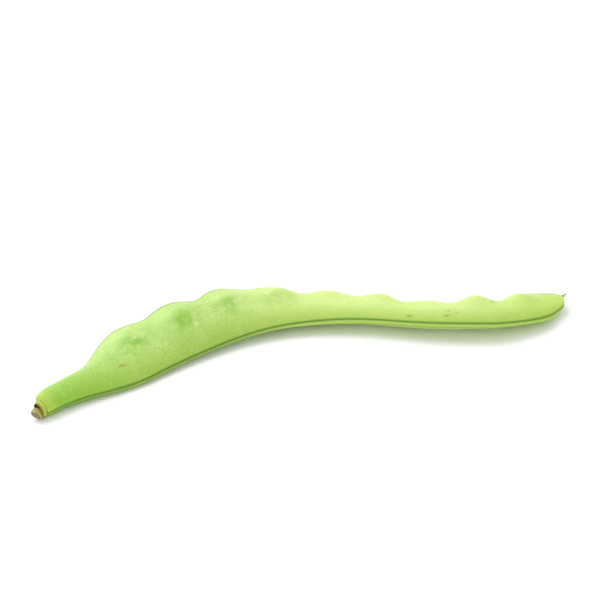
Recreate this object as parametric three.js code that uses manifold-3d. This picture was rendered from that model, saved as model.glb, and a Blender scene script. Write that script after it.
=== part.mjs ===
// A flat-podded green bean, cut from the plant with a short stub of its stalk, lying on one broad
// face. The pod is one closed solid: a flattened section carried along a middle line that bends
// in plan and rolls as it goes. Nine seeds swell both faces, and the back edge, which the seeds
// hang from, draws in at the waist between each two seeds. The stub is the cup that the pod
// sat in and the broken end of the stalk.
//
// Millimetres, +Z up. X runs from the stalk (-X) to the beak (+X), the seeds' edge faces +Y, and
// the origin is under the middle of the bean on the surface it lies on.

import * as THREE from 'three';
import { mergeVertices } from 'three/addons/utils/BufferGeometryUtils.js';
import Module from 'manifold-3d';

// ---- the pod's driving dimensions -----------------------------------------------------------

const POD_LENGTH = 185.2;         // along the middle line, from the cup to the beak

// values at equal steps along the pod, stalk end first; a smooth curve runs through them
const HEADING = [26.7, 22.8, 11.2, -14.9, -31, -11.5, 11.5];        // degrees from +X, in plan
const ROLL = [18, 15.5, 20, 5, -3, -1.5, 9];                        // degrees, back edge up
const MIDDLE_HEIGHT = [3.0, 4.3, 6.2, 4.5, 4.7, 5.2, 2.3];          // middle line above the surface
const BACK_WIDTH = [11.3, 11.1, 11.5, 11.3, 8, 8.4, 10.4];          // middle line to the seeds' edge
const BELLY_WIDTH = [11.7, 11.1, 10.9, 8.8, 7.3, 8, 12.1];          // middle line to the other edge
const HALF_THICKNESS = 3.7;       // away from the seeds

const SEED_STATIONS = [34.2, 52.5, 69.1, 86, 102.3, 119.1, 134.7, 151.2, 169];
const SEED_SWELLS = [1, 1.2, 1.3, 2.4, 1.1, 1.8, 0.3, 2.1, 2.1];    // on each face
const WAIST_DEPTHS = [1.5, 2.6, 1.4, 3.5, 2.3, 3.2, 3.2, 3.3];      // between seed n and n + 1
const SEED_REACH = 5.0;           // half length of a swell, along the pod
const SEED_HALF_HEIGHT = 4.2;     // and across it
const SEED_OFFSET = 0.4;          // of the back width, where the seeds' middles lie
const WAIST_REACH = 4.5;

// the neck narrows to the stalk between two stations, to a part of its full size at the cup
const BACK_NECK = { from: 14.8, to: 35, part: 0.3 };
const BELLY_NECK = { from: 2.2, to: 33.6, part: 0.4 };
const THIN_NECK = { from: 0, to: 30, part: 0.8 };
const SHOULDER_LENGTH = 4.5;      // rounded corner of the back edge beside the cup
const SHOULDER_PART = 0.35;       // of the back width left at the cup

const BEAK_BACK_LENGTH = 12;      // the back edge runs nearly straight to the beak
const BEAK_BELLY_LENGTH = 30;     // the belly edge sweeps up to it
const BEAK_THIN_LENGTH = 25;
const BEAK_BACK_POWER = 0.9;      // 1 is a straight taper, less is a rounder one
const BEAK_BELLY_POWER = 0.7;     // also of the thickness
const BEAK_BACK_PART = 0.34;      // of the full size, at the very end
const BEAK_BELLY_PART = 0.02;
const BEAK_THICKNESS_PART = 0.3;
const BEAK_LEAN = 0.8;            // the end slants, so that its corner on the back edge leads

const SUTURE_RISE = 0.4;          // the low ridge along both edges
const SUTURE_HALF_ANGLE = 9;      // degrees round the section
const EDGE_POWER = 0.9;           // powers of the section: 1 is a plain ellipse
const FACE_POWER = 1.45;          // above 1 the faces thin out towards sharp edges, as in a lens
const ROUND_NECK = { from: 4, to: 34, part: 0.7 };    // the neck's section is a round one
const END_ROUNDING = 0.5;         // dome at the neck end and at the blunt beak

// ---- the dried thread of the flower's style, on the beak ------------------------------------

const STYLE_LENGTH = 1.4;         // past the end of the beak
const STYLE_ROOT = 1.2;           // starts this far inside the beak
const STYLE_INSET = 0.75;         // of the way out to the back edge, where its root sits
const STYLE_RADII = [0.62, 0.36, 0.24];
const STYLE_RISE = 0.35;

// ---- the stub of stalk ----------------------------------------------------------------------

const CUP_GAP = 0.3;              // clearance between the pod and the cup
const CUP_RADIUS = 2.4;
const CUP_LENGTH = 1.3;
const SOCKET_RADIUS = 2.0;        // the hollow that the stalk stands in
const SOCKET_DEPTH = 0.5;
const STALK_RADIUS = 1.75;
const STALK_LENGTH = 2.0;         // from inside the cup to the break
const STALK_DIRECTION = new THREE.Vector3(-0.62, -0.72, -0.28);
const PITH_RADIUS = 0.9;
const PITH_DEPTH = 0.45;

// ---- resolution ------------------------------------------------------------------------------

const AROUND = 30;
const ALONG = 86;
const DOME_ROWS = 3;              // rows that close each end
const END_CROWDING = 0.4;         // closer rows near the ends, 0 for even spacing
const LINE_STEPS = 460;           // steps in which the middle line is added up

// ---- materials -------------------------------------------------------------------------------

const podSkin = new THREE.MeshStandardMaterial({ color: 0x9ccb4f, roughness: 0.5, metalness: 0 });
const stalkSkin = new THREE.MeshStandardMaterial({ color: 0xa79a5c, roughness: 0.8, metalness: 0 });

// ---- small helpers ---------------------------------------------------------------------------

const radians = THREE.MathUtils.degToRad;
const clamp = THREE.MathUtils.clamp;

// a smooth curve through values at equal steps, read at part 0 to 1 of its length
function along(values, part) {
  const last = values.length - 1;
  const place = clamp(part, 0, 1) * last;
  const i = Math.min(Math.floor(place), last - 1);
  const f = place - i;
  const here = values[i];
  const next = values[i + 1];
  const before = i > 0 ? values[i - 1] : 2 * here - next;
  const after = i + 2 <= last ? values[i + 2] : 2 * next - here;
  const slope = next - before;
  const bend = 2 * before - 5 * here + 4 * next - after;
  const twist = 3 * (here - next) + after - before;
  return here + 0.5 * f * (slope + f * (bend + f * twist));
}

// from `part` at station `from`, smoothly up to 1 at station `to`
function rampUp(station, { from, to, part }) {
  const t = clamp((station - from) / (to - from), 0, 1);
  return part + (1 - part) * t * t * (3 - 2 * t);
}

function bump(distance, reach) {
  return Math.exp(-((distance / reach) ** 2));
}

function signedPower(value, power) {
  return Math.sign(value) * Math.abs(value) ** power;
}

// ---- the pod's middle line and sections ------------------------------------------------------

// plan position of the middle line at every step, starting from the cup at 0, 0
const planLine = [new THREE.Vector2(0, 0)];
for (let k = 0; k < LINE_STEPS; k += 1) {
  const heading = radians(along(HEADING, (k + 0.5) / LINE_STEPS));
  const step = new THREE.Vector2(Math.cos(heading), Math.sin(heading));
  planLine.push(planLine[k].clone().addScaledVector(step, POD_LENGTH / LINE_STEPS));
}

// middle point, direction of travel, width direction and face direction at a station
function stationFrame(station) {
  const part = clamp(station / POD_LENGTH, 0, 1);
  const place = part * LINE_STEPS;
  const k = Math.min(Math.floor(place), LINE_STEPS - 1);
  const plan = planLine[k].clone().lerp(planLine[k + 1], place - k);
  const heading = radians(along(HEADING, part));
  const roll = radians(along(ROLL, part));
  const travel = new THREE.Vector3(Math.cos(heading), Math.sin(heading), 0);
  const level = new THREE.Vector3(-Math.sin(heading), Math.cos(heading), 0);
  const up = new THREE.Vector3(0, 0, 1);
  const width = level.clone().multiplyScalar(Math.cos(roll)).addScaledVector(up, Math.sin(roll));
  const face = up.clone().multiplyScalar(Math.cos(roll)).addScaledVector(level, -Math.sin(roll));
  const middle = new THREE.Vector3(plan.x, plan.y, along(MIDDLE_HEIGHT, part));
  return { middle, travel, width, face };
}

// half widths to the back and belly edges, half thickness and seed swell at a station
function sectionSize(station) {
  const part = station / POD_LENGTH;
  const toBeak = POD_LENGTH - station;
  const cornerRun = 1 - clamp(station / SHOULDER_LENGTH, 0, 1);
  const shoulder = SHOULDER_PART + (1 - SHOULDER_PART) * Math.sqrt(1 - cornerRun * cornerRun);
  const beakBack = clamp(toBeak / BEAK_BACK_LENGTH, 0, 1) ** BEAK_BACK_POWER;
  const beakBelly = clamp(toBeak / BEAK_BELLY_LENGTH, 0, 1) ** BEAK_BELLY_POWER;
  const beakThin = clamp(toBeak / BEAK_THIN_LENGTH, 0, 1) ** BEAK_BELLY_POWER;
  let waist = 0;
  WAIST_DEPTHS.forEach((depth, n) => {
    const between = (SEED_STATIONS[n] + SEED_STATIONS[n + 1]) / 2;
    waist += depth * bump(station - between, WAIST_REACH);
  });
  let swell = 0;
  SEED_SWELLS.forEach((rise, n) => {
    swell += rise * bump(station - SEED_STATIONS[n], SEED_REACH);
  });
  const fullBack = along(BACK_WIDTH, part) * rampUp(station, BACK_NECK) - waist;
  const fullBelly = along(BELLY_WIDTH, part) * rampUp(station, BELLY_NECK);
  const thickness = HALF_THICKNESS * rampUp(station, THIN_NECK);
  return {
    back: fullBack * shoulder * (BEAK_BACK_PART + (1 - BEAK_BACK_PART) * beakBack),
    belly: fullBelly * (BEAK_BELLY_PART + (1 - BEAK_BELLY_PART) * beakBelly),
    thickness: thickness * (BEAK_THICKNESS_PART + (1 - BEAK_THICKNESS_PART) * beakThin),
    swell,
  };
}

// a point of the skin: angle 0 is the back edge, 90 degrees the upper face, 180 the belly edge
function skinPoint(station, angle, closing) {
  const { middle, travel, width, face } = stationFrame(station);
  const size = sectionSize(station);
  const fromEdge = Math.min(Math.abs(Math.sin(angle / 2)), Math.abs(Math.cos(angle / 2)));
  const ridge = SUTURE_RISE * bump(2 * fromEdge, radians(SUTURE_HALF_ANGLE));
  const sideways = signedPower(Math.cos(angle), EDGE_POWER);
  const half = sideways >= 0 ? size.back : size.belly;
  const across = sideways * (half + ridge);
  const seedPlace = (across - SEED_OFFSET * size.back) / SEED_HALF_HEIGHT;
  const depth = size.thickness + size.swell * bump(seedPlace, 1);
  const facePower = FACE_POWER * rampUp(station, ROUND_NECK);
  const outward = depth * signedPower(Math.sin(angle), facePower);
  const centre = (size.back - size.belly) / 2;
  const closed = centre + (across - centre) * closing;
  const toBeak = POD_LENGTH - station;
  const lean = BEAK_LEAN * (1 - rampUp(toBeak, { from: 0, to: BEAK_BACK_LENGTH, part: 0 }));
  return middle.clone()
    .addScaledVector(width, closed)
    .addScaledVector(travel, closed * lean)
    .addScaledVector(face, outward * closing);
}

// station and closing factor of each row of the mesh, with a dome at both ends
function rowPlace(row) {
  const fromEnd = Math.min(row, ALONG - row);
  const turn = radians(90) * clamp(fromEnd / DOME_ROWS, 0, 1);
  if (fromEnd < DOME_ROWS) {
    const station = END_ROUNDING * (1 - Math.cos(turn));
    return { station: row < DOME_ROWS ? station : POD_LENGTH - station, closing: Math.sin(turn) };
  }
  const part = (row - DOME_ROWS) / (ALONG - 2 * DOME_ROWS);
  const eased = part - END_CROWDING * Math.sin(2 * Math.PI * part) / (2 * Math.PI);
  return { station: END_ROUNDING + (POD_LENGTH - 2 * END_ROUNDING) * eased, closing: 1 };
}

// a sphere whose rows become sections of the pod and whose poles become its two ends
function podShape() {
  const sphere = new THREE.SphereGeometry(1, AROUND, ALONG);
  const spots = sphere.attributes.position;
  for (let row = 0; row <= ALONG; row += 1) {
    const { station, closing } = rowPlace(row);
    for (let column = 0; column <= AROUND; column += 1) {
      const angle = -2 * Math.PI * (column % AROUND) / AROUND;
      const spot = skinPoint(station, angle, closing);
      spots.setXYZ(row * (AROUND + 1) + column, spot.x, spot.y, spot.z);
    }
  }
  return sphere;
}

// ---- the beak's thread -----------------------------------------------------------------------

// a thin lathe that tapers in two steps, turned to point up and back out of the beak
function styleShape() {
  const start = skinPoint(POD_LENGTH - STYLE_ROOT, 0, STYLE_INSET);
  const { travel, width } = stationFrame(POD_LENGTH);
  const up = new THREE.Vector3(0, 0, 1);
  const end = start.clone().addScaledVector(travel, STYLE_LENGTH + STYLE_ROOT);
  end.addScaledVector(up, STYLE_RISE);
  end.addScaledVector(width, STYLE_RISE);
  const axis = end.clone().sub(start);
  const length = axis.length();
  const profile = [
    new THREE.Vector2(0, 0),
    new THREE.Vector2(STYLE_RADII[0], 0),
    new THREE.Vector2(STYLE_RADII[1], length * 0.5),
    new THREE.Vector2(STYLE_RADII[2], length),
    new THREE.Vector2(0, length),
  ];
  const thread = new THREE.LatheGeometry(profile, 10);
  const turn = new THREE.Quaternion().setFromUnitVectors(new THREE.Vector3(0, 1, 0),
    axis.normalize());
  thread.applyQuaternion(turn);
  thread.translate(start.x, start.y, start.z);
  return thread;
}

// ---- joins and cuts --------------------------------------------------------------------------

const wasm = await Module();
wasm.setup();

function toSolid(geometry) {
  const bare = geometry.clone();
  bare.deleteAttribute('normal');
  bare.deleteAttribute('uv');
  const merged = mergeVertices(bare, 1e-5);
  const mesh = new wasm.Mesh({
    numProp: 3,
    vertProperties: new Float32Array(merged.attributes.position.array),
    triVerts: new Uint32Array(merged.index.array),
  });
  return new wasm.Manifold(mesh);
}

function toGeometry(solid) {
  const mesh = solid.getMesh();
  const geometry = new THREE.BufferGeometry();
  geometry.setAttribute('position', new THREE.BufferAttribute(mesh.vertProperties, 3));
  geometry.setIndex(new THREE.BufferAttribute(mesh.triVerts, 1));
  geometry.computeVertexNormals();
  return geometry;
}

// ---- the pod ---------------------------------------------------------------------------------

// the skin flattens a little where the bean bears on the surface, so all below z = 0 is cut away
function buildPod() {
  const below = new THREE.BoxGeometry(2 * POD_LENGTH, 2 * POD_LENGTH, 20);
  below.translate(0, 0, -10);
  const whole = toSolid(podShape()).add(toSolid(styleShape()));
  return new THREE.Mesh(toGeometry(whole.subtract(toSolid(below))), podSkin);
}

// ---- the stub --------------------------------------------------------------------------------

// a lathe turned about +Y from its foot, then stood on a point and pointed along a direction
function turned(profile, foot, direction) {
  const shape = new THREE.LatheGeometry(profile.map(([r, y]) => new THREE.Vector2(r, y)), 28);
  const turn = new THREE.Quaternion().setFromUnitVectors(new THREE.Vector3(0, 1, 0), direction);
  shape.applyQuaternion(turn);
  shape.translate(foot.x, foot.y, foot.z);
  return shape;
}

function buildStub() {
  const { travel, middle, width } = stationFrame(0);
  const size = sectionSize(0);
  const outward = travel.clone().negate();
  const direction = STALK_DIRECTION.clone().normalize();
  const foot = middle.clone().addScaledVector(width, (size.back - size.belly) / 2);
  foot.addScaledVector(outward, CUP_GAP);
  const cup = turned([
    [0, 0],
    [CUP_RADIUS * 0.86, 0],
    [CUP_RADIUS, 0.35],
    [CUP_RADIUS, CUP_LENGTH * 0.6],
    [CUP_RADIUS * 0.9, CUP_LENGTH],
    [SOCKET_RADIUS, CUP_LENGTH],
    [SOCKET_RADIUS * 0.85, CUP_LENGTH - SOCKET_DEPTH],
    [0, CUP_LENGTH - SOCKET_DEPTH],
  ], foot, outward);
  const stalkFoot = foot.clone().addScaledVector(outward, CUP_LENGTH * 0.45);
  const stalk = turned([
    [0, 0],
    [STALK_RADIUS * 0.8, 0],
    [STALK_RADIUS * 0.92, STALK_LENGTH * 0.4],
    [STALK_RADIUS, STALK_LENGTH * 0.85],
    [STALK_RADIUS * 0.9, STALK_LENGTH],
    [PITH_RADIUS, STALK_LENGTH],
    [PITH_RADIUS * 0.7, STALK_LENGTH - PITH_DEPTH],
    [0, STALK_LENGTH - PITH_DEPTH],
  ], stalkFoot, direction);
  return new THREE.Mesh(toGeometry(toSolid(cup).add(toSolid(stalk))), stalkSkin);
}

// ---- the bean --------------------------------------------------------------------------------

const pod = buildPod();
pod.name = 'pod';

const stalkStub = buildStub();
stalkStub.name = 'stalk_stub';

const bean = new THREE.Group();
bean.add(pod, stalkStub);

// put the origin under the middle of the bean; the heights already stand on z = 0
const extent = new THREE.Box3().setFromObject(bean);
const centre = extent.getCenter(new THREE.Vector3());
bean.position.set(-centre.x, -centre.y, 0);
bean.updateMatrixWorld(true);

export default bean;
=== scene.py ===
# %% [markdown]
# # A flat green bean with its stalk stub
#
# The bean lies on one broad face on a pale table. The imported model gives its size and its place.
# Here the same shape is made again, much finer, and given its skin: a thin wax with fine down,
# painted highlight as pale flecks over the small swellings, painted shade along the two seams,
# with a few small scars from its life on the plant. The unit is the metre, and +Z is up.

# %% Load the imported model
from math import cos, exp, hypot, pi, radians, sin, sqrt

import bmesh
import bpy
from mathutils import Matrix, Vector, noise


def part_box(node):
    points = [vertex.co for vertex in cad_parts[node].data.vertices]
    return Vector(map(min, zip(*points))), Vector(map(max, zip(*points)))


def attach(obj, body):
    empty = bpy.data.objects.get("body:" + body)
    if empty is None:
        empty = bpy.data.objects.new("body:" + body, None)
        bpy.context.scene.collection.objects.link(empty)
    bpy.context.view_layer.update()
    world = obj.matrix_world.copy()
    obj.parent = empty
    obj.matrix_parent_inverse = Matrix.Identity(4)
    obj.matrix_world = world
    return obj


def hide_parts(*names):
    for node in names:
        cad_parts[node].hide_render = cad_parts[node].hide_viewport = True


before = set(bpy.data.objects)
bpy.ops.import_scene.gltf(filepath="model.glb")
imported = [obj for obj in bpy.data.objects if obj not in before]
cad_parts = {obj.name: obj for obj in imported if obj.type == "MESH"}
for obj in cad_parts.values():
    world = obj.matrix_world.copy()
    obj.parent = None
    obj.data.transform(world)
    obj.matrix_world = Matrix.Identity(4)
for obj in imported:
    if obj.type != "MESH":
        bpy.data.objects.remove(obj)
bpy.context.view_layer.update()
MM = 0.001

# %% [markdown]
# ## The measures of the pod
#
# A pod is a flattened tube that follows a bending middle line. Three things change along the
# line: where it heads, how far the section rolls over, and how wide each half of it is. A few
# values at equal steps say each of these, and a smooth curve runs through them. Seeds are places
# where both faces swell, and between two seeds the edge that they hang from draws in.

# %% The measures, in millimetres and degrees
POD_LENGTH = 185.2
HEADING = [26.7, 22.8, 11.2, -14.9, -31, -11.5, 11.5]
ROLL = [18, 15.5, 20, 5, -3, -1.5, 9]
MIDDLE_HEIGHT = [3.0, 4.3, 6.2, 4.5, 4.7, 5.2, 2.3]
BACK_WIDTH = [11.3, 11.1, 11.5, 11.3, 8, 8.4, 10.4]
BELLY_WIDTH = [11.7, 11.1, 10.9, 8.8, 7.3, 8, 12.1]
HALF_THICKNESS = 3.7

SEED_STATIONS = [34.2, 52.5, 69.1, 86, 102.3, 119.1, 134.7, 151.2, 169]
SEED_SWELLS = [1, 1.2, 1.3, 2.4, 1.1, 1.8, 0.3, 2.1, 2.1]
WAIST_DEPTHS = [1.5, 2.6, 1.4, 3.5, 2.3, 3.2, 3.2, 3.3]
SEED_REACH = 5.0
SEED_HALF_HEIGHT = 4.2
SEED_OFFSET = 0.4
WAIST_REACH = 4.5

# from this station, to this one, and the part of the full size that is left at the first
BACK_NECK = (14.8, 35, 0.3)
BELLY_NECK = (2.2, 33.6, 0.4)
THIN_NECK = (0, 30, 0.8)
ROUND_NECK = (4, 34, 0.7)
SHOULDER_LENGTH = 4.5
SHOULDER_PART = 0.35
BEAK_BACK_LENGTH = 12
BEAK_BELLY_LENGTH = 30
BEAK_THIN_LENGTH = 25
BEAK_BACK_POWER = 0.9
BEAK_BELLY_POWER = 0.7
BEAK_BACK_PART = 0.34
BEAK_BELLY_PART = 0.02
BEAK_THICKNESS_PART = 0.3
BEAK_LEAN = 0.8
EDGE_POWER = 0.9
FACE_POWER = 1.45
END_ROUNDING = 0.5
print("pod:", POD_LENGTH, "mm along its middle line,", len(SEED_STATIONS), "seeds")


# %% [markdown]
# ## Small helpers
#
# `along` reads a row of values as one smooth curve. `bump` is a soft hill that is 1 in its middle,
# and `ramp_up` is a soft step. Together they shape every swelling, waist and ridge of the pod.

# %% Curves, hills and steps
def clamp(value):
    return min(1.0, max(0.0, value))


def along(values, part):
    last = len(values) - 1
    place = clamp(part) * last
    i = min(int(place), last - 1)
    f = place - i
    here, following = values[i], values[i + 1]
    before = values[i - 1] if i > 0 else 2 * here - following
    after = values[i + 2] if i + 2 <= last else 2 * following - here
    slope = following - before
    bend = 2 * before - 5 * here + 4 * following - after
    twist = 3 * (here - following) + after - before
    return here + 0.5 * f * (slope + f * (bend + f * twist))


def bump(distance, reach):
    return exp(-((distance / reach) ** 2))


def ramp_up(place, start, end, part=0.0):
    t = clamp((place - start) / (end - start))
    return part + (1 - part) * t * t * (3 - 2 * t)


def signed_power(value, power):
    return abs(value) ** power if value >= 0 else -(abs(value) ** power)


print("halfway along, the pod heads", round(along(HEADING, 0.5), 1), "degrees from +X")

# %% [markdown]
# ## The middle line
#
# Turning a heading into a line is the same as walking: many short steps, each in the direction
# that the pod has at that place. The result is kept, so that any station can be looked up.

# %% Walk along the pod
LINE_STEPS = 460
plan_line = [Vector((0.0, 0.0))]
for k in range(LINE_STEPS):
    heading = radians(along(HEADING, (k + 0.5) / LINE_STEPS))
    step = Vector((cos(heading), sin(heading))) * (POD_LENGTH / LINE_STEPS)
    plan_line.append(plan_line[k] + step)


def station_frame(station):
    """The middle point, and the travel, width and face directions, at a station."""
    part = clamp(station / POD_LENGTH)
    place = part * LINE_STEPS
    k = min(int(place), LINE_STEPS - 1)
    plan = plan_line[k].lerp(plan_line[k + 1], place - k)
    heading = radians(along(HEADING, part))
    roll = radians(along(ROLL, part))
    travel = Vector((cos(heading), sin(heading), 0))
    level = Vector((-sin(heading), cos(heading), 0))
    up = Vector((0, 0, 1))
    width = level * cos(roll) + up * sin(roll)
    face = up * cos(roll) - level * sin(roll)
    return Vector((plan.x, plan.y, along(MIDDLE_HEIGHT, part))), travel, width, face


print("stalk to beak in a straight line:", round(plan_line[-1].length, 1), "mm")


# %% [markdown]
# ## The section
#
# Each section is a fattened ellipse. Its back half, towards the seeds' edge, and its belly half
# have their own widths. The neck narrows to the stalk, the belly edge sweeps up to the beak, and
# the back edge is scalloped. `section_size` gives these measures for one station.

# %% The size of a section
def seed_swell(station):
    return sum(rise * bump(station - seed, SEED_REACH)
               for seed, rise in zip(SEED_STATIONS, SEED_SWELLS))


def waist_depth(station):
    middles = [(a + b) / 2 for a, b in zip(SEED_STATIONS, SEED_STATIONS[1:])]
    return sum(depth * bump(station - middle, WAIST_REACH)
               for middle, depth in zip(middles, WAIST_DEPTHS))


def section_size(station):
    """Half widths to the back and the belly, half thickness, and swelling."""
    part = station / POD_LENGTH
    to_beak = POD_LENGTH - station
    corner_run = 1 - clamp(station / SHOULDER_LENGTH)
    shoulder = SHOULDER_PART + (1 - SHOULDER_PART) * sqrt(1 - corner_run * corner_run)
    beak_back = clamp(to_beak / BEAK_BACK_LENGTH) ** BEAK_BACK_POWER
    beak_belly = clamp(to_beak / BEAK_BELLY_LENGTH) ** BEAK_BELLY_POWER
    beak_thin = clamp(to_beak / BEAK_THIN_LENGTH) ** BEAK_BELLY_POWER
    back = along(BACK_WIDTH, part) * ramp_up(station, *BACK_NECK) - waist_depth(station)
    back *= shoulder
    back *= BEAK_BACK_PART + (1 - BEAK_BACK_PART) * beak_back
    belly = along(BELLY_WIDTH, part) * ramp_up(station, *BELLY_NECK)
    belly *= BEAK_BELLY_PART + (1 - BEAK_BELLY_PART) * beak_belly
    thickness = HALF_THICKNESS * ramp_up(station, *THIN_NECK)
    thickness *= BEAK_THICKNESS_PART + (1 - BEAK_THICKNESS_PART) * beak_thin
    return back, belly, thickness, seed_swell(station)


print("section over the third seed:", [round(v, 1) for v in section_size(SEED_STATIONS[2])])

# %% [markdown]
# ## The fine relief of the skin
#
# Along both edges runs a suture, where the two halves of the pod are joined. Up close it is a low
# rounded ridge with a narrow groove on each side of it. The faces between the seeds are never
# quite smooth either, so a slow, weak ripple of a few tenths of a millimetre goes over them.

# %% Ridges, grooves and ripples
SUTURE_RISE = 0.4
SUTURE_HALF_WIDTH = 0.6
GROOVE_DEPTH = 0.26
GROOVE_NEAR_STALK = 0.5
GROOVE_NEAR_BEAK = 0.8
GROOVE_HALF_WIDTH = 0.32
GROOVE_MOVES = (45, 105)     # the stations between which it moves in from the edge
RIPPLE_LENGTH = 11.0
RIPPLE_DEPTH = 0.16


def groove_place(station):
    """Distance from the edge to the groove: the suture broadens towards the beak."""
    return GROOVE_NEAR_BEAK * ramp_up(station, *GROOVE_MOVES, GROOVE_NEAR_STALK / GROOVE_NEAR_BEAK)


def suture_relief(from_edge, station):
    """Height of the ridge and groove, at a distance in mm round the section from the edge."""
    fade = ramp_up(station, 0, 14, 0.1) * ramp_up(POD_LENGTH - station, 0, 6, 0.1)
    ridge = SUTURE_RISE * bump(from_edge, SUTURE_HALF_WIDTH)
    groove = GROOVE_DEPTH * bump(from_edge - groove_place(station), GROOVE_HALF_WIDTH)
    return (ridge - groove) * fade


def ripple(place):
    return RIPPLE_DEPTH * noise.noise(place / RIPPLE_LENGTH)


print("suture ridge:", SUTURE_RISE, "mm high, groove", GROOVE_DEPTH, "mm deep")


# %% [markdown]
# ## One point of the skin
#
# Angle 0 is the back edge, 90 degrees the upper face, 180 the belly edge. `closing` shrinks a
# section towards its middle, which domes the two ends. The point is found on the smooth section
# first, and the relief then lifts it along the outward direction there.

# %% From station and angle to a point
def skin_point(station, angle, closing):
    middle, travel, width, face = station_frame(station)
    back, belly, thickness, swell = section_size(station)
    sideways = signed_power(cos(angle), EDGE_POWER)
    half = back if sideways >= 0 else belly
    across = sideways * half
    seed_here = bump(across - SEED_OFFSET * back, SEED_HALF_HEIGHT)
    depth = thickness + swell * seed_here
    face_power = FACE_POWER * ramp_up(station, *ROUND_NECK)
    outward = depth * signed_power(sin(angle), face_power)
    reach = hypot(half * (1 - abs(sideways)), outward)
    lean = Vector((cos(angle) * depth, sin(angle) * half)).normalized()
    place = middle + width * across + face * outward
    lift = (suture_relief(reach, station) + ripple(place)) * closing
    centre = (back - belly) / 2
    across = centre + (across - centre) * closing + lift * lean.x
    outward = outward * closing + lift * lean.y
    slant = BEAK_LEAN * (1 - ramp_up(POD_LENGTH - station, 0, BEAK_BACK_LENGTH))
    return middle + width * across + travel * (across * slant) + face * outward


print("back edge at the fifth seed:", [round(v, 1) for v in skin_point(101, 0, 1)])

# %% [markdown]
# ## Skinning the pod
#
# A ball is already a closed skin made of rings. So a ball is made with one operator, and each of
# its rings is sent to a section of the pod: its two poles become the neck end and the beak end.
# The rings stand closer together near both ends, where the shape turns fastest.

# %% Make the ball and send its rings to their sections
AROUND = 144
RINGS = 640
DOME_RINGS = 9
END_CROWDING = 0.4


def ring_place(ring):
    """The station of a ring, and how far its section is closed."""
    from_end = min(ring, RINGS - ring)
    if from_end < DOME_RINGS:
        turn = pi / 2 * from_end / DOME_RINGS
        inset = END_ROUNDING * (1 - cos(turn))
        return (inset if ring < DOME_RINGS else POD_LENGTH - inset), sin(turn)
    part = (ring - DOME_RINGS) / (RINGS - 2 * DOME_RINGS)
    eased = part - END_CROWDING * sin(2 * pi * part) / (2 * pi)
    return END_ROUNDING + (POD_LENGTH - 2 * END_ROUNDING) * eased, 1.0


def make_pod_mesh():
    """A closed skin in mm, with each vertex's station and angle kept beside it."""
    bm = bmesh.new()
    bmesh.ops.create_uvsphere(bm, u_segments=AROUND, v_segments=RINGS, radius=1)
    station_layer = bm.verts.layers.float.new("station")
    angle_layer = bm.verts.layers.float.new("edge_angle")
    for vertex in bm.verts:
        spot = vertex.co
        tilt = Vector((hypot(spot.x, spot.y), spot.z)).angle_signed(Vector((0, -1)))
        ring = round(RINGS * abs(tilt) / pi)
        angle = Vector((1, 0)).angle_signed(Vector((spot.x, spot.y)), 0.0)
        station, closing = ring_place(ring)
        vertex.co = skin_point(station, angle, closing)
        vertex[station_layer] = station
        vertex[angle_layer] = angle
    bmesh.ops.recalc_face_normals(bm, faces=bm.faces)
    return bm


pod_mesh = make_pod_mesh()
print("pod skin:", len(pod_mesh.verts), "points,", round(pod_mesh.calc_volume() / 1000, 1), "cm3")

# %% [markdown]
# ## The thread on the beak
#
# The flower's style dries to a short stiff thread and stays on the beak. It is a tube that thins
# as it goes. A circle is made for each of a few rings, and neighbouring rings are bridged: that is
# the quickest way to a tube that bends and changes its thickness, and it serves the stub as well.

# %% A tube through rings, and the thread made with it
def ring_circle(bm, centre, axis, radius, segments, capped=False):
    """A circle of edges square to an axis, and its edges."""
    turn = Vector((0, 0, 1)).rotation_difference(axis).to_matrix().to_4x4()
    made = bmesh.ops.create_circle(bm, cap_ends=capped, segments=segments, radius=radius,
                                   matrix=Matrix.Translation(centre) @ turn)
    corners = set(made["verts"])
    return [edge for edge in bm.edges if set(edge.verts) <= corners]


def add_tube(bm, rings, segments):
    """rings holds (centre, axis, radius). Both ends are closed."""
    loops = [ring_circle(bm, *ring, segments, capped=ring is rings[0] or ring is rings[-1])
             for ring in rings]
    for near, far in zip(loops, loops[1:]):
        bmesh.ops.bridge_loops(bm, edges=near + far)


STYLE_LENGTH = 1.4
STYLE_ROOT = 1.2
STYLE_INSET = 0.75
STYLE_RADII = [0.62, 0.36, 0.24]
STYLE_RISE = 0.35


def add_style(bm):
    start = skin_point(POD_LENGTH - STYLE_ROOT, 0, STYLE_INSET)
    middle, travel, width, face = station_frame(POD_LENGTH)
    end = start + travel * (STYLE_LENGTH + STYLE_ROOT) + (Vector((0, 0, 1)) + width) * STYLE_RISE
    axis = (end - start).normalized()
    rings = []
    for k in range(13):
        t = k / 12
        radius = along(STYLE_RADII, t) * (1 + 0.12 * noise.noise(Vector((9 * t, 0, 4))))
        sag = width * (-0.25 * sin(pi * t))
        rings.append((start.lerp(end, t) + sag, axis, radius))
    add_tube(bm, rings, 14)


add_style(pod_mesh)
print("thread:", STYLE_LENGTH, "mm past the beak")

# %% [markdown]
# ## Where the pod bears on the table, and where it belongs
#
# A fresh pod is soft enough to flatten a little where it touches. Points that would be under the
# table are set on it. Then the pod is moved, so that its box sits in the middle of the packed
# pod's box.

# %% Flatten the contact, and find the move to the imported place
for vertex in pod_mesh.verts:
    vertex.co.z = max(vertex.co.z, 0.0)


def box_centre(low, high):
    return (Vector(low) + Vector(high)) / 2


def mesh_centre(bm):
    low = Vector([min(vertex.co[axis] for vertex in bm.verts) for axis in range(3)])
    high = Vector([max(vertex.co[axis] for vertex in bm.verts) for axis in range(3)])
    return (low + high) / 2


move = box_centre(*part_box("pod")) / MM - mesh_centre(pod_mesh)
move.z = 0
print("move to the packed place, mm:", [round(v, 1) for v in move])
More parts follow.
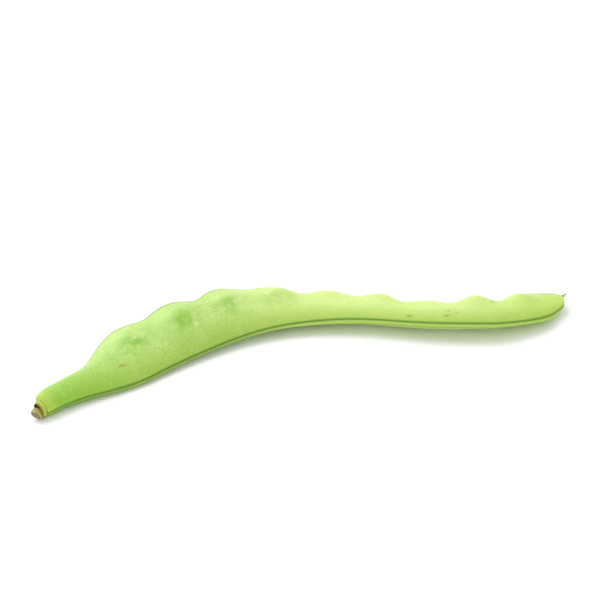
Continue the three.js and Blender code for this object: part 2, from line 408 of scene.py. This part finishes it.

# %% [markdown]
# ## What the skin's colour needs to know
#
# The colours of a pod follow its parts: greener on the neck, a pale back beside painted shade on
# the belly side, painted shade as a dark line in the grooves, a few scars. Those are places on the
# pod, not places in the room, so each is worked out once for every point and kept on the mesh as
# an attribute that the material can read.

# %% Write the attributes
SCARS = [  # station and distance across from the middle line, half length, half width, strength
    (26.0, -4.2, 1.0, 0.40, 0.8),
    (27.2, -4.7, 0.5, 0.30, 0.5),
    (129.5, -5.4, 0.9, 0.30, 0.8),
    (140.8, -5.0, 0.9, 0.28, 0.8),
    (141.5, -3.2, 0.6, 0.28, 0.7),
    (144.0, -4.2, 0.6, 0.28, 0.5),
    (156.5, 0.4, 0.8, 0.35, 0.4),
    (92.0, 5.0, 0.5, 0.30, 0.4),
    (59.0, 3.5, 0.6, 0.30, 0.35),
]


FULL_SWELL = 1.3       # a swelling of this height, or more, has its full colour
PATCH_PLACE = 0.8      # where the greener patch over a seed lies, from the middle line
PATCH_REACH = 4.2
PATCH_FADE = 0.7       # how much weaker it is in the half towards the beak
PATCH_FADES = (72, 108)      # the stations between which the patches fade
BACK_GROOVE_SHADE = 0.55     # how dark the painted shade in the grooves of the back edge is, beside the belly edge's
GROOVE_SHADE_SPREAD = 1.2    # the painted shade line is a little wider than the groove
NECK_REACH = 34
BEAK_REACH = 38


def scar_here(station, across):
    return clamp(sum(strength * bump(hypot((station - s) / length, (across - a) / width), 1)
                     for s, a, length, width, strength in SCARS))


def write_skin_attributes(bm):
    station_layer = bm.verts.layers.float["station"]
    angle_layer = bm.verts.layers.float["edge_angle"]
    layers = {name: bm.verts.layers.float.new(name)
              for name in ("seed", "groove", "belly", "scar", "neck", "beak")}
    for vertex in bm.verts:
        station, angle = vertex[station_layer], vertex[angle_layer]
        if station == 0.0 and vertex.co.x > POD_LENGTH / 2:
            vertex[layers["beak"]] = 1.0
            vertex[layers["scar"]] = 0.8
            continue
        back, belly, thickness, swell = section_size(min(station, POD_LENGTH))
        sideways = signed_power(cos(angle), EDGE_POWER)
        half = back if sideways >= 0 else belly
        across = sideways * half
        face_power = FACE_POWER * ramp_up(station, *ROUND_NECK)
        outward = thickness * signed_power(sin(angle), face_power)
        reach = hypot(half * (1 - abs(sideways)), outward)
        patch = clamp(swell / FULL_SWELL) * bump(across - PATCH_PLACE, PATCH_REACH)
        vertex[layers["seed"]] = patch * (1 - PATCH_FADE * ramp_up(station, *PATCH_FADES))
        # painted shade: the grooves get a dark line, full on the lower belly edge and weaker on
        # the lit back edge
        dark = 1 if sideways < 0 else BACK_GROOVE_SHADE
        from_groove = reach - groove_place(station)
        vertex[layers["groove"]] = dark * bump(from_groove, GROOVE_HALF_WIDTH * GROOVE_SHADE_SPREAD)
        # painted shade: the belly mark is the share towards the lower belly edge, which the skin
        # darkens as shade
        vertex[layers["belly"]] = clamp(0.5 - 0.5 * across / max(half, 0.1))
        vertex[layers["scar"]] = scar_here(station, across) if angle > 0 else 0.0
        vertex[layers["neck"]] = 1 - ramp_up(station, 0, NECK_REACH)
        vertex[layers["beak"]] = 1 - ramp_up(POD_LENGTH - station, 0, BEAK_REACH)


write_skin_attributes(pod_mesh)
print("scars:", len(SCARS))

# %% [markdown]
# ## From a skin in millimetres to a finished piece
#
# The rest of the scene works in metres. A finished piece keeps its object at the origin, with its
# place in its mesh, so the move and the scale go into the points. Smooth shading hides the rings.

# %% Finish the pod
def finish_piece(bm, name, node):
    bmesh.ops.translate(bm, vec=move, verts=bm.verts)
    bmesh.ops.scale(bm, vec=(MM, MM, MM), verts=bm.verts)
    bmesh.ops.recalc_face_normals(bm, faces=bm.faces)
    mesh = bpy.data.meshes.new(name)
    bm.to_mesh(mesh)
    bm.free()
    mesh.shade_smooth()
    piece = bpy.data.objects.new(name, mesh)
    bpy.context.scene.collection.objects.link(piece)
    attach(piece, "root")
    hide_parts(node)
    return piece


pod = finish_piece(pod_mesh, "bean_pod", "pod")
print("pod:", len(pod.data.polygons), "faces")

# %% [markdown]
# ## The stub of the stalk
#
# The pod sat in a small cup, which is olive-brown by the time the bean is sold. The stalk stands
# in a shallow hollow of the cup and was broken off a few millimetres out. It leans away from the
# pod's own line, so a dark gap shows on one side of it. Its end shows a pale rim, which is the
# tough outer wood, round a dark ring and a paler pith.

# %% Measures of the stub
CUP_RADIUS = 2.4
CUP_LENGTH = 1.3
SOCKET_RADIUS = 2.0
SOCKET_DEPTH = 0.5
STALK_RADIUS = 1.75
STALK_LENGTH = 2.0
STALK_DIRECTION = Vector((-0.62, -0.72, -0.28)).normalized()
CUP_PROFILE = [(-0.5, 1.9), (-0.1, 2.25), (0.2, 2.42), (0.45, 2.44), (0.7, 2.38), (0.95, 2.3),
               (1.15, 2.22), (1.28, 2.15), (1.3, 2.06), (1.22, 2.0), (1.0, 1.93), (0.8, 1.6),
               (0.72, 0.9)]
STALK_PROFILE = [(0.0, 1.3), (0.25, 1.38), (0.5, 1.5), (0.8, 1.6), (1.1, 1.68), (1.4, 1.75),
                 (1.7, 1.8), (1.9, 1.76), (2.0, 1.62), (2.0, 1.42), (1.9, 1.24), (1.7, 1.14),
                 (1.56, 0.98), (1.55, 0.65), (1.7, 0.4), (1.78, 0.15)]
print("stub: cup", 2 * CUP_RADIUS, "mm across, stalk", 2 * STALK_RADIUS, "mm across")

# %% [markdown]
# ## Growing the cup and the stalk
#
# Both are rings along an axis, so both use the ring tube. Plant tissue is never quite round, so
# the radius of every point is then changed a little by a noise that is stretched along the axis.
# That gives the fine lengthwise ribs of a dried stalk.

# %% Make the stub
RIB_DEPTH = 0.06
LUMP_DEPTH = 0.09
CUP_TONE = 0.42        # how far out along the stub the cup's rim counts, for its colour
HOLLOW_SHADE_TONE = 0.48     # the same for the floor of its hollow, which takes the dark tone of painted shade
STALK_TONE = 0.5       # and for the foot of the stalk, which starts in the painted shade of the hollow
HOLLOW_REACH = 1.02    # the hollow as a share of the socket, a little past its wall
CUP_SIDES = 72
STALK_SIDES = 64
STALK_OUT = 0.45 * CUP_LENGTH + 0.3     # from the end of the pod to the foot of the stalk
PITH_EDGE = 1.35
PITH_SOFTNESS = 0.25


def rings_of(profile, foot, axis, bend=Vector((0, 0, 0))):
    """Rings of a profile of (distance, radius) pairs along an axis, with a gentle bend."""
    reach = max(distance for distance, radius in profile)
    return [(foot + axis * distance + bend * (distance / reach) ** 2, axis, radius)
            for distance, radius in profile]


def roughen(verts, foot, axis, salt):
    for vertex in verts:
        off = vertex.co - foot
        distance = off.dot(axis)
        radial = off - axis * distance
        if radial.length < 0.05:
            continue
        way = radial.normalized()
        rib = noise.noise(way * 5.5 + axis * (distance * 0.25) + Vector((salt, 0, 0)))
        lump = noise.noise(way * 1.4 + axis * (distance * 0.9) + Vector((0, salt, 0)))
        vertex.co += way * (RIB_DEPTH * rib + LUMP_DEPTH * lump)


def make_stub():
    bm = bmesh.new()
    layer = bm.verts.layers.float.new("out")
    pith_layer = bm.verts.layers.float.new("pith")
    middle, travel, width, face = station_frame(0)
    back, belly, thickness, swell = section_size(0)
    foot = middle + width * ((back - belly) / 2)
    add_tube(bm, rings_of(CUP_PROFILE, foot, -travel), CUP_SIDES)
    cup = list(bm.verts)
    roughen(cup, foot, -travel, 3.0)
    for vertex in cup:
        off = vertex.co - foot
        distance = off.dot(-travel)
        in_hollow = (off + travel * distance).length < HOLLOW_REACH * SOCKET_RADIUS
        in_hollow = in_hollow and distance > CUP_LENGTH / 2
        # painted shade: the floor of the hollow is given the tone of the dark brown band
        vertex[layer] = HOLLOW_SHADE_TONE if in_hollow else CUP_TONE * clamp(distance / CUP_LENGTH)
    stalk_foot = foot - travel * STALK_OUT
    add_tube(bm, rings_of(STALK_PROFILE, stalk_foot, STALK_DIRECTION), STALK_SIDES)
    stalk = [vertex for vertex in bm.verts if vertex not in set(cup)]
    for vertex in stalk:
        off = vertex.co - stalk_foot
        distance = off.dot(STALK_DIRECTION)
        radial = (off - STALK_DIRECTION * distance).length
        vertex[layer] = STALK_TONE + (1 - STALK_TONE) * clamp(distance / STALK_LENGTH)
        is_end = ramp_up(distance, STALK_LENGTH - 0.6, STALK_LENGTH - 0.5)
        vertex[pith_layer] = is_end * clamp((PITH_EDGE - radial) / PITH_SOFTNESS)
    roughen(stalk, stalk_foot, STALK_DIRECTION, 8.0)
    for vertex in bm.verts:
        vertex.co.z = max(vertex.co.z, 0.0)
    return bm


stub = finish_piece(make_stub(), "stalk_end", "stalk_stub")
print("stub:", len(stub.data.polygons), "faces")

# %% [markdown]
# ## Colours and nodes
#
# Colours are given as screen values and turned to the linear values that the renderer
# works with. One helper adds a node, sets what is passed to it, and links its inputs.

# %% The colour and node helpers
def linear(hex_text):
    """A screen colour such as #9CCB4F as linear red, green, blue and alpha."""
    parts = [int(hex_text[i:i + 2], 16) / 255 for i in (1, 3, 5)]
    return [v / 12.92 if v <= 0.04045 else ((v + 0.055) / 1.055) ** 2.4 for v in parts] + [1.0]


def add_node(tree, kind, settings=None, **inputs):
    """A node of a kind. Inputs go by name; a socket is linked, anything else is set."""
    node = tree.nodes.new(kind)
    for name, value in (settings or {}).items():
        setattr(node, name, value)
    for name, value in inputs.items():
        socket = node.inputs[int(name[1:]) if name[1:].isdigit() else name.replace("_", " ")]
        if isinstance(value, bpy.types.NodeSocket):
            tree.links.new(value, socket)
        else:
            socket.default_value = value
    return node


def new_material(name):
    material = bpy.data.materials.new(name)
    material.use_nodes = True
    material.node_tree.nodes.clear()
    return material, material.node_tree


print("sample colour, linear:", [round(v, 3) for v in linear("#9CCB4F")])

# %% [markdown]
# ## The skin of the pod
#
# A bean's skin is a living green layer under a thin clear wax, with a nap of very fine down. The
# green lies a little under the surface, so light goes in and comes out softened: that is a small
# subsurface share. The wax gives a broad soft shine, and the down a pale sheen towards the edges.
# The colour is yellow-green and uneven: a slow blotchiness of about a centimetre, fine grain of
# about half a millimetre, greener over the seeds and on the neck. Light and shade are painted in
# too: painted shade on the belly side and as a dark line in the grooves beside the ridges, painted
# highlight as pale flecks on the small swellings, and painted light that makes the far half paler.

# %% Build the bean skin material
GRAIN = 1 / (0.6 * MM)         # grain of about half a millimetre, in spots per metre
BLOTCH = 1 / (11 * MM)
FLECK = 1 / (2.4 * MM)
MOTTLE = 1 / (3.5 * MM)


def mark(tree, name):
    return add_node(tree, "ShaderNodeAttribute", {"attribute_name": name}).outputs["Fac"]


def blend_colour(tree, share, first, second):
    """From the first colour to the second as share goes from 0 to 1."""
    node = add_node(tree, "ShaderNodeMix", {"data_type": "RGBA"}, i0=share, i6=first, i7=second)
    return node.outputs[2]


def times(tree, value, factor):
    return add_node(tree, "ShaderNodeMath", {"operation": "MULTIPLY", "use_clamp": True},
                    i0=value, i1=factor).outputs[0]


def spread(tree, value, low, high, to_low=0.0, to_high=1.0):
    return add_node(tree, "ShaderNodeMapRange", {"interpolation_type": "SMOOTHSTEP"}, i0=value,
                    i1=low, i2=high, i3=to_low, i4=to_high).outputs[0]


def spots(tree, place, scale, detail=2.0, roughness=0.5):
    return add_node(tree, "ShaderNodeTexNoise", Vector=place, Scale=scale, Detail=detail,
                    Roughness=roughness).outputs["Fac"]


def bean_skin():
    material, tree = new_material("fresh waxy bean skin")
    place = add_node(tree, "ShaderNodeTexCoord").outputs["Object"]
    blotch = spread(tree, spots(tree, place, BLOTCH, 3.0), 0.35, 0.68)
    grain = spots(tree, place, GRAIN, 2.0, 0.6)
    fleck = spots(tree, place, FLECK, 2.0)
    colour = blend_colour(tree, blotch, linear("#C6E284"), linear("#B6D874"))
    mottle = spread(tree, spots(tree, place, MOTTLE, 3.0, 0.6), 0.30, 0.62)
    colour = blend_colour(tree, times(tree, mottle, 0.3), colour, linear("#A4CE5C"))
    patch = times(tree, times(tree, mark(tree, "seed"), mottle), 0.9)
    colour = blend_colour(tree, patch, colour, linear("#7FBC26"))
    # painted light: the far half, which lies flatter and faces the lamp, is painted paler
    lit_far_half = spread(tree, add_node(tree, "ShaderNodeSeparateXYZ", Vector=place).outputs[0],
                      -45 * MM, 15 * MM)
    colour = blend_colour(tree, times(tree, lit_far_half, 0.8), colour, linear("#D6EC90"))
    # painted shade: the belly half, lower and turned from the lamp, is painted darker green
    shaded_low_side = spread(tree, mark(tree, "belly"), 0.55, 1.0)
    colour = blend_colour(tree, times(tree, shaded_low_side, 0.6), colour, linear("#9AC11C"))
    colour = blend_colour(tree, times(tree, mark(tree, "neck"), 0.8), colour, linear("#8FC42A"))
    lip = times(tree, spread(tree, mark(tree, "neck"), 0.955, 0.995), 0.7)
    colour = blend_colour(tree, lip, colour, linear("#BAD452"))
    colour = blend_colour(tree, times(tree, mark(tree, "beak"), 0.6), colour, linear("#B4DC3A"))
    # painted highlight: pale flecks sit on the highs of the noise that also raises the small
    # swellings
    fleck_highlights = times(tree, spread(tree, fleck, 0.60, 0.78), 0.35)
    colour = blend_colour(tree, fleck_highlights, colour, linear("#D6EAA2"))
    # painted light: the fine grain is painted fainter in the brighter far half
    grain_share = spread(tree, lit_far_half, 0.0, 1.0, 0.4, 0.18)
    dark_grain = times(tree, spread(tree, grain, 0.55, 0.32), grain_share)
    colour = blend_colour(tree, dark_grain, colour, linear("#88B348"))
    # painted shade: a dark line along the grooves beside the ridges
    colour = blend_colour(tree, times(tree, mark(tree, "groove"), 0.9), colour,
                          linear("#538418"))
    colour = blend_colour(tree, times(tree, mark(tree, "scar"), 0.9), colour, linear("#8A7A2E"))
    down = add_node(tree, "ShaderNodeBump", Strength=0.45, Distance=0.0001, Height=grain)
    swells = add_node(tree, "ShaderNodeBump", Strength=0.3, Distance=0.0004, Height=fleck,
                      Normal=down.outputs[0])
    rough = spread(tree, fleck, 0.3, 0.7, 0.42, 0.54)
    skin = add_node(tree, "ShaderNodeBsdfPrincipled", Base_Color=colour, Roughness=rough,
                    IOR=1.45, Normal=swells.outputs[0], Subsurface_Weight=0.18,
                    Subsurface_Radius=(1.0, 1.0, 0.35), Subsurface_Scale=0.0016,
                    Sheen_Weight=0.16, Sheen_Roughness=0.4,
                    Sheen_Tint=linear("#EFF7D0"))
    add_node(tree, "ShaderNodeOutputMaterial", Surface=skin.outputs[0])
    return material


pod.data.materials.clear()
pod.data.materials.append(bean_skin())
print("pod skin:", len(pod.active_material.node_tree.nodes), "nodes")

# %% [markdown]
# ## The drying stalk
#
# The cup is yellow-green where it holds the pod and turns olive and brown outwards, with painted
# shade in dark brown on the floor of its hollow and the stalk's foot, and the stalk is dull beige,
# streaked along its length. The break has a pale rim and a dark pith. Dry tissue has no wax left,
# so it is rough and hardly shines.

# %% Build the stalk material
FIBRE = 1 / (0.5 * MM)


def drying_stalk():
    material, tree = new_material("drying bean stalk")
    place = add_node(tree, "ShaderNodeTexCoord").outputs["Object"]
    fibre = spots(tree, place, FIBRE, 3.0, 0.6)
    out = mark(tree, "out")
    colour = blend_colour(tree, spread(tree, out, 0.14, 0.28), linear("#C2D662"),
                          linear("#A3A540"))
    colour = blend_colour(tree, spread(tree, out, 0.34, 0.42), colour, linear("#94813C"))
    # painted shade: dark brown on the floor of the cup's hollow and the foot of the stalk, where
    # the gap is in shadow
    colour = blend_colour(tree, spread(tree, out, 0.43, 0.47), colour, linear("#46371A"))
    colour = blend_colour(tree, spread(tree, out, 0.52, 0.62), colour, linear("#A8994E"))
    colour = blend_colour(tree, spread(tree, out, 0.93, 0.99), colour, linear("#CABF8A"))
    colour = blend_colour(tree, mark(tree, "pith"), colour, linear("#4A4208"))
    streak = times(tree, spread(tree, fibre, 0.45, 0.75), 0.5)
    colour = blend_colour(tree, streak, colour, linear("#6A5C1C"))
    ridges = add_node(tree, "ShaderNodeBump", Strength=0.5, Distance=0.00015, Height=fibre)
    stalk = add_node(tree, "ShaderNodeBsdfPrincipled", Base_Color=colour, Roughness=0.85,
                     IOR=1.3, Normal=ridges.outputs[0])
    add_node(tree, "ShaderNodeOutputMaterial", Surface=stalk.outputs[0])
    return material


stub.data.materials.clear()
stub.data.materials.append(drying_stalk())
print("stalk:", len(stub.active_material.node_tree.nodes), "nodes")

# %% [markdown]
# ## The table
#
# A plain white surface, much larger than the bean, so that its edge never shows.

# %% Lay the table
FLOOR_HALF = 3.0


def lay_table():
    bm = bmesh.new()
    bmesh.ops.create_grid(bm, x_segments=1, y_segments=1, size=FLOOR_HALF)
    mesh = bpy.data.meshes.new("table")
    bm.to_mesh(mesh)
    bm.free()
    table = bpy.data.objects.new("table", mesh)
    bpy.context.scene.collection.objects.link(table)
    material, tree = new_material("white table")
    paint = add_node(tree, "ShaderNodeBsdfPrincipled", Base_Color=linear("#FFFFFF"),
                     Roughness=0.9)
    add_node(tree, "ShaderNodeOutputMaterial", Surface=paint.outputs[0])
    mesh.materials.append(material)


lay_table()
print("table:", 2 * FLOOR_HALF, "m wide")

# %% [markdown]
# ## Light
#
# High-key studio light: a bright white room from all sides, and one large soft lamp above and
# behind on the left, which brightens the pod's raised back and leaves a faint shadow in front.

# %% Set the room and the lamp
WORLD_STRENGTH = 0.84
LAMP_POWER = 6.0
LAMP_SIZE = 0.9
LAMP_PLACE = Vector((-0.35, 0.55, 0.75))


def light_scene():
    world = bpy.data.worlds.new("white room")
    bpy.context.scene.world = world
    world.use_nodes = True
    world.node_tree.nodes["Background"].inputs["Color"].default_value = (1, 1, 1, 1)
    world.node_tree.nodes["Background"].inputs["Strength"].default_value = WORLD_STRENGTH
    lamp = bpy.data.lights.new("soft lamp", "AREA")
    lamp.shape = "DISK"
    lamp.size = LAMP_SIZE
    lamp.energy = LAMP_POWER
    holder = bpy.data.objects.new("soft lamp", lamp)
    holder.location = LAMP_PLACE
    holder.rotation_euler = (-LAMP_PLACE).to_track_quat("-Z", "Y").to_euler()
    bpy.context.scene.collection.objects.link(holder)


light_scene()
bpy.context.scene.view_settings.view_transform = "Standard"
print("lamp:", LAMP_POWER, "W,", LAMP_SIZE, "m across")

# %% [markdown]
# ## The camera
#
# The bean is seen from a little to the left of square on, from about 31 degrees above the table,
# at roughly arm's length for something this small, so the stalk end looms slightly.

# %% Place the camera
AZIMUTH = -20
ELEVATION = 31
DISTANCE = 330 * MM
LENS = 57
AIM_FROM_STALK = Vector((92.6, 34, 0))


def place_camera():
    view = bpy.data.cameras.new("camera")
    view.lens = LENS
    view.sensor_width = 36
    view.clip_start = 0.01
    a, e = radians(AZIMUTH), radians(ELEVATION)
    back = Vector((sin(a) * cos(e), -cos(a) * cos(e), sin(e)))
    aim = (AIM_FROM_STALK + move) * MM
    camera = bpy.data.objects.new("camera", view)
    camera.location = aim + back * DISTANCE
    camera.rotation_euler = back.to_track_quat("Z", "Y").to_euler()
    bpy.context.scene.collection.objects.link(camera)
    bpy.context.scene.camera = camera
    return aim


print("camera looks at", [round(v, 4) for v in place_camera()])
